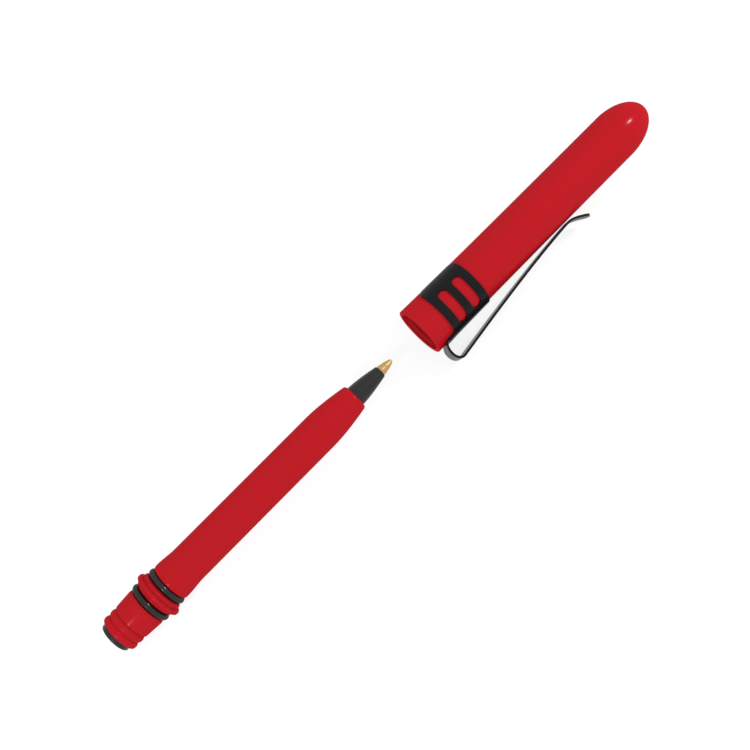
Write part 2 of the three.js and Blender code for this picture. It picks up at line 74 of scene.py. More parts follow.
# Angles in radians and lengths in millimetres that differ by less than this count as the same.
NEAR = 1e-4
ANGLE_DIGITS = 6
SHARP_ANGLE = math.radians(38)
# Chords in a rounded corner, and the largest share of a side that its rounding takes.
CORNER_STEPS = 5
CORNER_SHARE = 0.45

Values = float | np.ndarray
Sockets = dict[str, NodeSocket]

log = logging.getLogger("pocket_pen")


class Slot(Enum):
    """The record's material slots."""

    RED_PLASTIC = "red_plastic"
    BLACK_RUBBER = "black_rubber"
    BLACK_PLASTIC = "black_plastic"
    BLACK_STEEL = "black_steel"
    BRASS = "brass"
    CARBIDE = "carbide"
    CLEAR_PLASTIC = "clear_plastic"
    INK = "ink"
    GREASE = "grease"


class Body(Enum):
    """The bodies that pieces ride on."""

    PEN = "pen_body"
    CAP = "cap"
    CLIP = "clip_spring"
    BALL = "ball"


@dataclass(frozen=True)
class Axis:
    """A place on the pen's axis that lengths are measured from, in millimetres in the frame."""

    start: float
    side: float
    height: float

    def place(self, points: np.ndarray) -> np.ndarray:
        """Moves points given as (along, across, up) in millimetres from this place into the frame, in metres."""
        return (points + np.array((self.start, self.side, self.height))) * MM


def arc(
    centre: Sequence[float], half: float | Sequence[float], start: float, stop: float, steps: int
) -> np.ndarray:
    """Samples an arc of an ellipse: the centre plus the half sizes times the cosine and sine of the angle.

    Args:
        centre: Distance along the axis and radius of the centre.
        half: Half the ellipse's size along the axis and across it, or a circle's radius.
        start: First angle in degrees, from the direction of the axis.
        stop: Last angle in degrees.
        steps: Number of chords.

    Returns:
        Rows of (along, radius).
    """
    angle = np.radians(np.linspace(start, stop, steps + 1))
    return np.array(centre) + np.array(half) * np.column_stack((np.cos(angle), np.sin(angle)))


def curve(start: float, stop: float, radius_at: Callable[[Values], Values], steps: int) -> np.ndarray:
    """Samples a radius that is a function of the distance along the axis.

    Args:
        start: First distance along the axis.
        stop: Last distance along the axis.
        radius_at: Gives the radii at an array of distances.
        steps: Number of chords.

    Returns:
        Rows of (along, radius).
    """
    along = np.linspace(start, stop, steps + 1)
    return np.column_stack((along, radius_at(along)))


def ease(share: np.ndarray) -> np.ndarray:
    """Eases shares from 0 to 1: three times the square less twice the cube."""
    return share**2 * (3 - 2 * share)


def round_off(distance: np.ndarray, radius: float) -> np.ndarray:
    """Height of a quarter circle that rises from 0 at distance 0 to its radius, and stays there."""
    inset = radius - np.clip(distance, 0, radius)
    return np.sqrt(np.maximum(radius**2 - inset**2, 0))


def rounded(*rows: Sequence[float]) -> np.ndarray:
    """Draws a turned piece's outline, and rounds its corners with parabolas that meet both sides smoothly.

    Args:
        *rows: Distance along the axis and radius of each corner, forwards outside and back inside. A third number
            says how far from the corner its rounding starts, and without it the corner is sharp.

    Returns:
        Rows of (along, radius).
    """
    corners = np.array([(*row, 0.0)[:3] for row in rows])
    share = np.linspace(0, 1, CORNER_STEPS + 1)[:, None]
    pieces = []
    for i, corner in enumerate(corners):
        point, rounding = corner[:2], corner[2]
        if rounding == 0:
            pieces.append(point[None])
            continue
        ends = []
        for other in (corners[i - 1, :2], corners[(i + 1) % len(corners), :2]):
            length = np.linalg.norm(other - point)
            ends.append(point + (other - point) / length * min(rounding, CORNER_SHARE * length))
        pieces.append((1 - share) ** 2 * ends[0] + 2 * share * (1 - share) * point + share**2 * ends[1])
    return np.vstack(pieces)


def grid_mesh(name: str, points: np.ndarray, closed: bool = False, open_rows: np.ndarray | None = None) -> Mesh:
    """Makes a mesh of quads from a grid of points.

    Args:
        name: The mesh's name.
        points: An array of rows by columns by three coordinates, in metres.
        closed: Whether the last row joins the first, and the last column the first column.
        open_rows: Marks the rows that get no quads to the row after them.

    Returns:
        The mesh.
    """
    rows, columns = points.shape[:2]
    index = np.arange(rows * columns).reshape(rows, columns)
    if closed:
        index = np.pad(index, ((0, 1), (0, 1)), mode="wrap")
    quads = np.stack((index[:-1, :-1], index[1:, :-1], index[1:, 1:], index[:-1, 1:]), axis=-1)
    if open_rows is not None:
        quads = quads[~open_rows]
    mesh = bpy.data.meshes.new(name)
    mesh.from_pydata(points.reshape(-1, 3).tolist(), [], quads.reshape(-1, 4).tolist())
    return mesh


def weld(parts: Sequence[Mesh], distance: float) -> Mesh:
    """Joins meshes into the first of them, merges doubled points, and turns the faces outwards.

    Args:
        parts: The meshes. All but the first are removed.
        distance: How close doubled points are, in metres.

    Returns:
        The first mesh.
    """
    mesh, *others = parts
    work = bmesh.new()
    for part in parts:
        work.from_mesh(part)
    for part in others:
        bpy.data.meshes.remove(part)
    bmesh.ops.remove_doubles(work, verts=work.verts, dist=distance)
    bmesh.ops.recalc_face_normals(work, faces=work.faces)
    work.to_mesh(mesh)
    work.free()
    return mesh


def smooth(mesh: Mesh) -> None:
    """Shades a mesh smooth except at its sharp edges."""
    mesh.shade_smooth()
    mesh.set_sharp_from_angle(angle=SHARP_ANGLE)


def link(data: ID) -> Object:
    """Puts something into the scene as an object of the same name at the origin.

    Args:
        data: A mesh, a camera or a lamp.

    Returns:
        The object.
    """
    item = bpy.data.objects.new(data.name, data)
    bpy.context.scene.collection.objects.link(item)
    return item


def turned(name: str, outline: np.ndarray, axis: Axis, segments: int) -> Object:
    """Turns an outline about the pen's axis: across and up are the radius times the sine and cosine of the angle.

    The outline closes on itself, and a stretch of it that lies on the axis gets no faces.

    Args:
        name: The piece's name.
        outline: Rows of (along, radius).
        axis: Where the outline's lengths are measured from.
        segments: Number of faces round the piece.

    Returns:
        The piece.
    """
    angle = np.linspace(0, 2 * np.pi, segments, endpoint=False)
    along = np.repeat(outline[:, :1], segments, axis=1)
    radius = outline[:, 1:]
    points = np.stack((along, radius * np.sin(angle), radius * np.cos(angle)), axis=-1)
    on_axis = outline[:, 1] < WELD
    grid = grid_mesh(name, axis.place(points), closed=True, open_rows=on_axis & np.roll(on_axis, -1))
    mesh = weld([grid], WELD)
    smooth(mesh)
    return link(mesh)


class Graph:
    """A node tree that is being wired."""

    def __init__(self, tree: NodeTree) -> None:
        """Wraps the tree that nodes are added to."""
        self.tree = tree

    def feed(self, socket: NodeSocket, value: object) -> None:
        """Gives an input its value.

        Args:
            socket: The input.
            value: Another node's output to link to it, or a plain value.
        """
        if isinstance(value, NodeSocket):
            self.tree.links.new(value, socket)
        else:
            socket.default_value = value

    def add(self, kind: str, inputs: dict[str | int, object] | None = None, **settings: object) -> Node:
        """Adds a node.

        Args:
            kind: The node's type, without its ShaderNode prefix.
            inputs: Values or sockets for the node's inputs, by name or number.
            **settings: Values for the node's own properties.

        Returns:
            The node.
        """
        node = self.tree.nodes.new("ShaderNode" + kind)
        for key, value in settings.items():
            setattr(node, key, value)
        for key, value in (inputs or {}).items():
            self.feed(node.inputs[key], value)
        return node

    def math(self, operation: str, first: object, second: object) -> NodeSocket:
        """Adds a Math node on two numbers or sockets, and returns its result."""
        return self.add("Math", {0: first, 1: second}, operation=operation).outputs[0]

    def mix(self, factor: object, first: object, second: object) -> NodeSocket:
        """Mixes two colours, by a factor that is 0 for the first, and returns the mixed colour."""
        return self.add("Mix", {0: factor, 6: first, 7: second}, data_type="RGBA").outputs[2]

    def noise(self, place: object, scale: object, detail: float, **inputs: float) -> NodeSocket:
        """Adds a Noise Texture, and returns its factor."""
        return self.add("TexNoise", {"Vector": place, "Scale": scale, "Detail": detail, **inputs}).outputs["Fac"]


def effect(name: str, inputs: dict[str, str], outputs: dict[str, str]) -> tuple[Graph, Sockets, Sockets]:
    """Starts a node group for an effect that several finishes share.

    Args:
        name: The group's name.
        inputs: Socket types by name.
        outputs: Socket types by name.

    Returns:
        The group's graph, the sockets that bring its inputs in, and the sockets that take its outputs.
    """
    tree = bpy.data.node_groups.new(name, "ShaderNodeTree")
    for direction, sockets in (("INPUT", inputs), ("OUTPUT", outputs)):
        for label, kind in sockets.items():
            tree.interface.new_socket(name=label, in_out=direction, socket_type="NodeSocket" + kind)
    source = tree.nodes.new("NodeGroupInput")
    target = tree.nodes.new("NodeGroupOutput")
    return Graph(tree), {key: source.outputs[key] for key in inputs}, {key: target.inputs[key] for key in outputs}


def mottle_effect() -> NodeTree:
    """Makes the slow drift of colour in a moulded or coated surface: soft noise mixes two near colours.

    Returns:
        The node group, with inputs Color, Other Color, Scale and Amount, and output Color.
    """
    graph, given, wanted = effect(
        "mottle",
        {"Color": "Color", "Other Color": "Color", "Scale": "Float", "Amount": "Float"},
        {"Color": "Color"},
    )
    place = graph.add("TexCoord").outputs["Object"]
    noise = graph.noise(place, given["Scale"], detail=3.0, Roughness=0.55)
    factor = graph.math("MULTIPLY", noise, given["Amount"])
    graph.feed(wanted["Color"], graph.mix(factor, given["Color"], given["Other Color"]))
    return graph.tree


def grain_effect() -> NodeTree:
    """Makes the fine texture that a mould or a coating leaves: two sizes of noise, stretched along the pen.

    Returns:
        The node group, with inputs Scale and Stretch, and outputs Height and Mask.
    """
    fine_scale = 4.3
    fine_height = 0.45
    graph, given, wanted = effect(
        "grain", {"Scale": "Float", "Stretch": "Float"}, {"Height": "Float", "Mask": "Float"}
    )
    place = graph.add("TexCoord").outputs["Object"]
    stretch = graph.add("CombineXYZ", {"X": given["Stretch"], "Y": 1.0, "Z": 1.0}).outputs["Vector"]
    stretched = graph.add("VectorMath", {0: place, 1: stretch}, operation="MULTIPLY").outputs[0]
    coarse = graph.noise(stretched, given["Scale"], detail=2.0)
    fine = graph.noise(stretched, graph.math("MULTIPLY", given["Scale"], fine_scale), detail=2.0)
    low = graph.math("MULTIPLY", fine, fine_height)
    graph.feed(wanted["Height"], graph.math("ADD", coarse, low))
    graph.feed(wanted["Mask"], fine)
    return graph.tree


def scuff_effect() -> NodeTree:
    """Makes a mask of thin scuffs from handling: a narrow band of stretched noise, broken up by softer noise.

    Returns:
        The node group, with inputs Scale and Amount, and output Mask.
    """
    patch_scale = 0.7
    graph, given, wanted = effect("scuff", {"Scale": "Float", "Amount": "Float"}, {"Mask": "Float"})
    place = graph.add("TexCoord").outputs["Object"]
    turn = graph.add("Mapping", {"Vector": place, "Rotation": (0.3, 0.5, 0.9), "Scale": (1.0, 9.0, 9.0)})
    lines = graph.noise(turn.outputs[0], given["Scale"], detail=4.0)
    band = graph.add("MapRange", {"Value": lines, "From Min": 0.62, "From Max": 0.72})
    patches = graph.noise(place, graph.math("MULTIPLY", given["Scale"], patch_scale), detail=2.0)
    broken = graph.add("MapRange", {"Value": patches, "From Min": 0.5, "From Max": 0.62})
    mask = graph.math("MULTIPLY", band.outputs[0], broken.outputs[0])
    graph.feed(wanted["Mask"], graph.math("MULTIPLY", mask, given["Amount"]))
    return graph.tree


@dataclass(frozen=True)
class Finish:
    """A material's colours, gloss, and the shares of the shared effects that it takes. Lengths are in metres."""

    slot: Slot
    color: tuple[float, float, float]
    other_color: tuple[float, float, float]
    mottle_scale: float = 160.0
    mottle_amount: float = 0.5
    roughness: float = 0.4
    roughness_spread: float = 0.08
    metallic: float = 0.0
    specular: float = 0.5
    coat: float = 0.0
    coat_ior: float = 1.5
    coat_roughness: float = 0.2
    grain_scale: float = 2500.0
    grain_stretch: float = 1.0
    bump_distance: float = 4e-6
    scuff_scale: float = 260.0
    scuff_amount: float = 0.3

    def build(self, effects: dict[str, NodeTree]) -> Material:
        """Makes the material.

        Args:
            effects: The shared node groups by name.

        Returns:
            The material.
        """
        material = bpy.data.materials.new(self.slot.value)
        material.use_nodes = True
        graph = Graph(material.node_tree)
        colours = {
            "Color": (*self.color, 1.0),
            "Other Color": (*self.other_color, 1.0),
            "Scale": self.mottle_scale,
            "Amount": self.mottle_amount,
        }
        mottle = graph.add("Group", colours, node_tree=effects["mottle"])
        texture = {"Scale": self.grain_scale, "Stretch": self.grain_stretch}
        grain = graph.add("Group", texture, node_tree=effects["grain"])
        wear = {"Scale": self.scuff_scale, "Amount": self.scuff_amount}
        scuff = graph.add("Group", wear, node_tree=effects["scuff"])
        spread = graph.math("MULTIPLY", grain.outputs["Mask"], self.roughness_spread)
        worn = graph.math("MULTIPLY", scuff.outputs["Mask"], 2 * self.roughness_spread)
        rough = graph.math("ADD", graph.math("ADD", spread, worn), self.roughness - self.roughness_spread / 2)
        height = {"Height": grain.outputs["Height"], "Distance": self.bump_distance, "Strength": 1.0}
        values = {
            "Base Color": mottle.outputs["Color"],
            "Roughness": rough,
            "Normal": graph.add("Bump", height).outputs["Normal"],
            "Metallic": self.metallic,
            "Specular IOR Level": self.specular,
            "Coat Weight": self.coat,
            "Coat IOR": self.coat_ior,
            "Coat Roughness": self.coat_roughness,
        }
        shader = material.node_tree.nodes["Principled BSDF"]
        for name, value in values.items():
            graph.feed(shader.inputs[name], value)
        return material


FINISHES = (
    Finish(
        Slot.RED_PLASTIC,
        (0.438, 0.007, 0.0127),
        (0.404, 0.006, 0.0112),
        roughness=0.3,
        specular=0.0,
        coat=0.045,
        coat_ior=2.2,
        coat_roughness=0.16,
    ),
    Finish(
        Slot.BLACK_RUBBER,
        (0.008, 0.008, 0.007),
        (0.013, 0.013, 0.011),
        mottle_scale=700.0,
        specular=0.0,
        coat=0.2,
        coat_ior=2.2,
        coat_roughness=0.17,
        grain_scale=5000.0,
        bump_distance=5e-6,
    ),
    Finish(
        Slot.BLACK_PLASTIC,
        (0.016, 0.0145, 0.0155),
        (0.023, 0.0205, 0.0215),
        mottle_scale=500.0,
        specular=0.22,
        grain_scale=6000.0,
    ),
    Finish(
        Slot.BLACK_STEEL,
        (0.0065, 0.006, 0.0075),
        (0.010, 0.0095, 0.011),
        mottle_scale=400.0,
        roughness=0.3,
        specular=0.1,
        grain_scale=7000.0,
        grain_stretch=0.08,
        bump_distance=2e-6,
        scuff_amount=0.6,
    ),
    Finish(
        Slot.BRASS,
        (0.53, 0.35, 0.15),
        (0.45, 0.28, 0.11),
        mottle_scale=1200.0,
        roughness=0.42,
        metallic=1.0,
        grain_scale=3000.0,
        grain_stretch=7.0,
        bump_distance=1.5e-6,
    ),
    Finish(Slot.CARBIDE, (0.35, 0.34, 0.33), (0.3, 0.29, 0.28), roughness=0.2, metallic=1.0, bump_distance=5e-7),
    Finish(Slot.CLEAR_PLASTIC, (0.78, 0.76, 0.7), (0.72, 0.7, 0.64), roughness=0.3, coat=0.3),
    Finish(Slot.INK, (0.01, 0.02, 0.06), (0.008, 0.015, 0.05), roughness=0.15),
    Finish(Slot.GREASE, (0.6, 0.52, 0.25), (0.66, 0.58, 0.3), roughness=0.35, mottle_scale=500.0),
)


@dataclass
class Wardrobe:
    """The finishes as built materials, and the way that pieces take them."""

    materials: dict[Slot, Material] = field(default_factory=dict)

    def build(self) -> None:
        """Builds the shared effects once, and then each finish."""
        effects = {"mottle": mottle_effect(), "grain": grain_effect(), "scuff": scuff_effect()}
        for finish in FINISHES:
            self.materials[finish.slot] = finish.build(effects)

    def dress(self, piece: Object, slot: Slot) -> None:
        """Gives a piece its material in place of any that it has."""
        piece.data.materials.clear()
        piece.data.materials.append(self.materials[slot])

    def install(self, piece: Object, slot: Slot, body: Body, *nodes: str) -> None:
        """Dresses a new piece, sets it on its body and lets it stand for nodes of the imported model.

        Args:
            piece: The finished piece.
            slot: The material slot that it takes its finish from.
            body: The body that it rides on.
            *nodes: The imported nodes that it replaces.
        """
        self.dress(piece, slot)
        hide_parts(*nodes)
        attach(piece, body.value)
        log.info("%s: %d faces on %s", piece.name, len(piece.data.polygons), body.value)

    def redress(self, node: str, slot: Slot) -> None:
        """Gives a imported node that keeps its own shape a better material."""
        self.dress(frame["nodes"][node], slot)
        log.info("%s: kept, with a new finish", node)


@dataclass
class TurnedPart:
    """The sizes that the parts turned about the pen's axis share, and the way that their pieces are made."""

    axis: Axis
    small_rounding: float = 0.1
    fit: float = 0.04
    segments: int = 192

    def turn(self, wardrobe: Wardrobe, name: str, outline: np.ndarray, slot: Slot, body: Body, node: str) -> None:
        """Turns an outline into a named piece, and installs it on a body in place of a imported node."""
        wardrobe.install(turned(name, outline, self.axis, self.segments), slot, body, node)


@dataclass
class PenBody(TurnedPart):
    """The barrel with its flange, grooves and ribs, the sealing rings, and the plug in the tail."""

    radius: float = 4.75
    bore: float = 3.0
    front: float = 64.22
    tail: float = 13.0
    tail_lead: float = 0.1
    tail_inset: float = 0.03
    tail_rounding: float = 0.15
    swell: float = 0.36
    swell_rounding: float = 0.85
    swell_fade: float = 5.6
    taper_length: float = 10.7
    taper_drop: float = 1.19
    taper_power: float = 1.6
    nose_rounding: float = 0.75
    nose_round_end: float = 4.0
    nose_hole: float = 2.75
    nose_hole_rounding: float = 0.06
    nose_land: float = 6.0
    flange_radius: float = 6.27
    flange_width: float = 1.05
    flange_rounding: float = 0.45
    shoulder_radius: float = 5.43
    shoulder_rounding: float = 0.16
    front_shoulder: float = 0.87
    rear_shoulder: float = 0.58
    land_radius: float = 4.87
    land_width: float = 0.37
    land_rounding: float = 0.08
    ring_section: float = 1.78
    ring_clearance: float = 0.04
    ring_flash_height: float = 0.03
    ring_flash_width: float = 4.0
    ring_steps: int = 72
    front_ring_radius: float = 5.34
    rear_ring_radius: float = 5.51
    spigot_front: float = 5.18
    spigot_rear: float = 4.88
    spigot_chamfer: float = 0.6
    spigot_rounding: float = 0.25
    chamfer_rounding: float = 0.2
    rib_pitch: float = 2.0
    rib_cut: float = 0.4
    rib_valley: float = 4.48
    rib_height: float = 0.43
    plug_radius: float = 3.96
    plug_thickness: float = 1.36
    plug_rounding: float = 0.4
    plug_stem: float = 6.0
    stem_rounding: float = 0.3
    stem_root: float = 0.05
    dish_depth: float = 0.12
    dish_floor: float = 0.62
    dish_rim: float = 0.72
    dish_rounding: float = 0.2

    @property
    def groove(self) -> float:
        """Width of a ring's groove."""
        return self.ring_section + 2 * self.ring_clearance

    @property
    def front_groove(self) -> float:
        """Where the front ring's groove starts."""
        return self.front_shoulder + self.land_width

    @property
    def rear_groove(self) -> float:
        """Where the rear ring's groove ends."""
        return -self.flange_width - self.rear_shoulder - self.land_width

    @property
    def rib_end(self) -> float:
        """Where the front one of the two ribs ends. The tail's end cuts the rear one short."""
        return -self.tail - self.rib_cut + 2 * self.rib_pitch

    def rib_radius(self, along: Values) -> Values:
        """Radius of the ribs: the valley plus the height times the size of a sine with one lobe to a rib."""
        lobe = np.abs(np.sin(np.pi * (along - self.rib_end) / self.rib_pitch))
        return self.rib_valley + self.rib_height * lobe

    def swell_radius(self, along: Values) -> Values:
        """Radius ahead of the front ring: the swell falls to the barrel along half a cosine."""
        peak = self.front_groove + self.groove + self.swell_rounding
        return self.radius + self.swell * (1 + np.cos(np.pi * (along - peak) / self.swell_fade)) / 2

    def taper_radius(self, along: Values) -> Values:
        """Radius of the nose: the barrel less a drop that grows with a power of the distance."""
        start = self.front - self.nose_rounding - self.taper_length
        return self.radius - self.taper_drop * ((along - start) / self.taper_length) ** self.taper_power

    def barrel_outline(self) -> np.ndarray:
        """Draws the barrel from its tail forwards, and back through its bore.

        Returns:
            Rows of (along, radius).
        """
        small, land = self.small_rounding, self.land_rounding
        rear_wall = self.rear_groove - self.groove
        front_floor = self.front_ring_radius - self.ring_section - self.ring_clearance
        rear_floor = self.rear_ring_radius - self.ring_section - self.ring_clearance
        swell_start = self.front_groove + self.groove
        peak = swell_start + self.swell_rounding
        round_start = self.front - self.nose_rounding
        nose_radius = self.radius - self.taper_drop
        nose_centre = (round_start, nose_radius - self.nose_rounding)
        return rounded(
            (-self.tail, self.rib_radius(-self.tail) - self.tail_inset, self.tail_rounding),
            *curve(-self.tail + self.tail_lead, self.rib_end, self.rib_radius, steps=35),
            (self.rib_end + self.land_width, self.spigot_rear, self.spigot_rounding),
            (rear_wall - self.spigot_chamfer, self.spigot_front, self.chamfer_rounding),
            (rear_wall, self.spigot_rear, land),
            (rear_wall, rear_floor, small),
            (self.rear_groove, rear_floor, small),
            (self.rear_groove, self.land_radius, land),
            (-self.flange_width - self.rear_shoulder, self.shoulder_radius, self.shoulder_rounding),
            (-self.flange_width, self.shoulder_radius, small),
            (-self.flange_width, self.flange_radius, self.flange_rounding),
            (0, self.flange_radius, self.flange_rounding),
            (0, self.shoulder_radius, small),
            (self.front_shoulder, self.shoulder_radius, self.shoulder_rounding),
            (self.front_groove, self.land_radius, land),
            (self.front_groove, front_floor, small),
            (swell_start, front_floor, small),
            *arc((peak, self.radius), (self.swell_rounding, self.swell), 180, 90, steps=12),
            *curve(peak, peak + self.swell_fade, self.swell_radius, steps=24)[1:],
            *curve(round_start - self.taper_length, round_start, self.taper_radius, steps=28),
            *arc(nose_centre, self.nose_rounding, 90, self.nose_round_end, steps=10)[1:],
            (self.front, self.nose_hole, self.nose_hole_rounding),
            (self.front - self.nose_land, self.nose_hole),
            (self.front - self.nose_land, self.bore),
            (-self.tail, self.bore, self.tail_rounding),
        )

    def ring_outline(self, radius: float, centre: float) -> np.ndarray:
        """Draws a sealing ring: a round section, with the fine flash line that its mould leaves round the outside.

        Args:
            radius: The ring's outer radius.
            centre: The middle of the ring along the axis.

        Returns:
            Rows of (along, radius).
        """
        half = self.ring_section / 2
        angle = np.linspace(180, -180, self.ring_steps, endpoint=False)
        flash = self.ring_flash_height * np.exp(-(((angle - 90) / self.ring_flash_width) ** 2))
        reach = half - self.ring_flash_height + flash
        along = centre + reach * np.cos(np.radians(angle))
        return np.column_stack((along, radius - half + reach * np.sin(np.radians(angle))))

    def plug_outline(self) -> np.ndarray:
        """Draws the plug: a disc with a round rim and a shallow dished face, and a stem in the bore.

        Returns:
            Rows of (along, radius), starting and ending on the axis.
        """
        face = -self.tail - self.fit
        rear = face - self.plug_thickness
        stem = self.bore - self.fit
        stem_front = -self.tail + self.plug_stem
        return rounded(
            (rear + self.dish_depth, 0),
            (rear + self.dish_depth, self.plug_radius * self.dish_floor, self.dish_rounding),
            (rear, self.plug_radius * self.dish_rim, self.dish_rounding),
            (rear, self.plug_radius, self.plug_rounding),
            (face, self.plug_radius, self.small_rounding),
            (face, stem, self.stem_root),
            (stem_front, stem, self.stem_rounding),
            (stem_front, 0),
        )

    def build(self, wardrobe: Wardrobe) -> None:
        """Makes the barrel, the rings and the plug.

        Args:
            wardrobe: The finishes.
        """
        front_ring = self.ring_outline(self.front_ring_radius, self.front_groove + self.groove / 2)
        rear_ring = self.ring_outline(self.rear_ring_radius, self.rear_groove - self.groove / 2)
        for name, outline, slot, node in (
            ("barrel_moulding", self.barrel_outline(), Slot.RED_PLASTIC, "barrel"),
            ("front_sealing_ring", front_ring, Slot.BLACK_RUBBER, "front_o_ring"),
            ("rear_sealing_ring", rear_ring, Slot.BLACK_RUBBER, "rear_o_ring"),
            ("tail_plug_moulding", self.plug_outline(), Slot.BLACK_PLASTIC, "tail_plug"),
        ):
            self.turn(wardrobe, name, outline, slot, Body.PEN, node)


@dataclass
class Refill(TurnedPart):
    """The tip holder, the writing tip with its ball, and the ink that the barrel hides."""

    segments: int = 128
    ball_segments: int = 64
    barrel_front: float = PenBody.front
    barrel_bore: float = PenBody.bore
    radius: float = 2.71
    cone_length: float = 8.48
    cone_drop: float = 1.17
    cone_power: float = 1.5
    cone_rounding: float = 0.18
    cone_round_start: float = 80.0
    land: float = PenBody.nose_land
    shoulder_length: float = 1.2
    spigot_length: float = 5.0
    spigot_radius: float = 1.66
    spigot_rounding: float = 0.2
    socket_rounding: float = 0.03
    channel: float = 0.5
    tip_radius: float = 1.33
    tip_root_rounding: float = 0.06
    tip_collar: float = 0.6
    tip_collar_rounding: float = 0.05
    tip_step: float = 0.03
    tip_step_rounding: float = 0.02
    tip_taper: float = 1.05
    neck_radius: float = 1.06
    neck_start_rounding: float = 0.2
    neck_end_rounding: float = 0.12
    tip_neck: float = 0.3
    tip_cone: float = 1.7
    shank_radius: float = 1.0
    shank_length: float = 3.0
    crimp_length: float = 0.42
    crimp_height: float = 0.15
    ball_radius: float = 0.4
    ball_clearance: float = 0.04
    lip_setback: float = 0.22
    lip_wall: float = 0.1
    ball_channel: float = 0.22

    @property
    def front(self) -> float:
        """Front face of the tip holder."""
        return self.barrel_front + self.cone_length

    @property
    def tip_end(self) -> float:
        """Lip of the writing tip."""
        return self.front + self.fit + self.tip_collar + self.tip_taper + self.tip_neck + self.tip_cone

    def cone_radius(self, along: Values) -> Values:
        """Radius of the holder's cone: its base less a drop that grows with a power of the distance."""
        return self.radius - self.cone_drop * ((along - self.barrel_front) / self.cone_length) ** self.cone_power

    def holder_outline(self) -> np.ndarray:
        """Draws the tip holder with its shoulder and spigot inside the barrel.

        Returns:
            Rows of (along, radius).
        """
        shoulder_front = self.barrel_front - self.land - self.fit
        shoulder_rear = shoulder_front - self.shoulder_length
        spigot_rear = shoulder_rear - self.spigot_length
        shoulder = self.barrel_bore - self.fit
        socket = self.shank_radius + self.fit
        socket_floor = self.front - self.shank_length - 2 * self.fit
        cone_end = self.front - self.cone_rounding
        centre = (cone_end, self.cone_radius(cone_end) - self.cone_rounding)
        return rounded(
            (spigot_rear, self.spigot_radius, self.spigot_rounding),
            (shoulder_rear, self.spigot_radius),
            (shoulder_rear, shoulder, self.small_rounding),
            (shoulder_front, shoulder, self.small_rounding),
            (shoulder_front, self.radius),
            *curve(self.barrel_front, cone_end, self.cone_radius, steps=26),
            *arc(centre, self.cone_rounding, self.cone_round_start, 0, steps=7),
            (self.front, socket, self.socket_rounding),
            (socket_floor, socket),
            (socket_floor, self.channel),
            (spigot_rear, self.channel),
        )

    def tip_outline(self) -> np.ndarray:
        """Draws the turned tip: shank, collar, taper, neck, cone with a crimped lip, and the seat of the ball.

        Returns:
            Rows of (along, radius).
        """
        seat = self.ball_radius + self.ball_clearance
        centre = self.tip_end - self.lip_setback
        lip = math.sqrt(seat**2 - self.lip_setback**2)
        lip_angle = math.degrees(math.acos(self.lip_setback / seat))
        channel_angle = 180 - math.degrees(math.asin(self.ball_channel / seat))
        base = self.front + self.fit
        collar_end = base + self.tip_collar
        taper_end = collar_end + self.tip_taper
        return rounded(
            (base - self.shank_length, self.shank_radius, self.small_rounding),
            (base, self.shank_radius),
            (base, self.tip_radius, self.tip_root_rounding),
            (collar_end, self.tip_radius, self.tip_collar_rounding),
            (collar_end, self.tip_radius - self.tip_step, self.tip_step_rounding),
            (taper_end, self.neck_radius, self.neck_start_rounding),
            (taper_end + self.tip_neck, self.neck_radius, self.neck_end_rounding),
            (self.tip_end - self.crimp_length, lip + self.lip_wall + self.crimp_height, self.small_rounding),
            (self.tip_end, lip + self.lip_wall, self.small_rounding),
            *arc((centre, 0), seat, lip_angle, channel_angle, steps=20),
            (base - self.shank_length, self.ball_channel),
        )

    def build(self, wardrobe: Wardrobe) -> None:
        """Makes the tip holder, the tip and the ball, and gives the hidden pieces their finishes.

        Args:
            wardrobe: The finishes.
        """
        holder, tip = self.holder_outline(), self.tip_outline()
        self.turn(wardrobe, "tip_holder_moulding", holder, Slot.BLACK_PLASTIC, Body.PEN, "tip_holder")
        self.turn(wardrobe, "turned_tip", tip, Slot.BRASS, Body.PEN, "writing_tip")
        half_circle = arc((self.tip_end - self.lip_setback, 0), self.ball_radius, 180, 0, steps=32)
        ball = turned("polished_ball", half_circle, self.axis, self.ball_segments)
        wardrobe.install(ball, Slot.CARBIDE, Body.BALL, "writing_ball")
        wardrobe.redress("ink_tube", Slot.CLEAR_PLASTIC)
        wardrobe.redress("ink_column", Slot.INK)
        wardrobe.redress("ink_follower", Slot.GREASE)


@dataclass(frozen=True)
class CapSkin:
    """The cap's outer surface, which the cap and its clip share. The flare at the mouth dies away along the cap."""

    radius: float = 6.31
    flare: float = 0.41
    flare_length: float = 18.0

    def at(self, along: Values) -> Values:
        """Outer radius at distances from the mouth: the plain radius plus a flare that fades exponentially."""
        return self.radius + self.flare * np.exp(-along / self.flare_length)


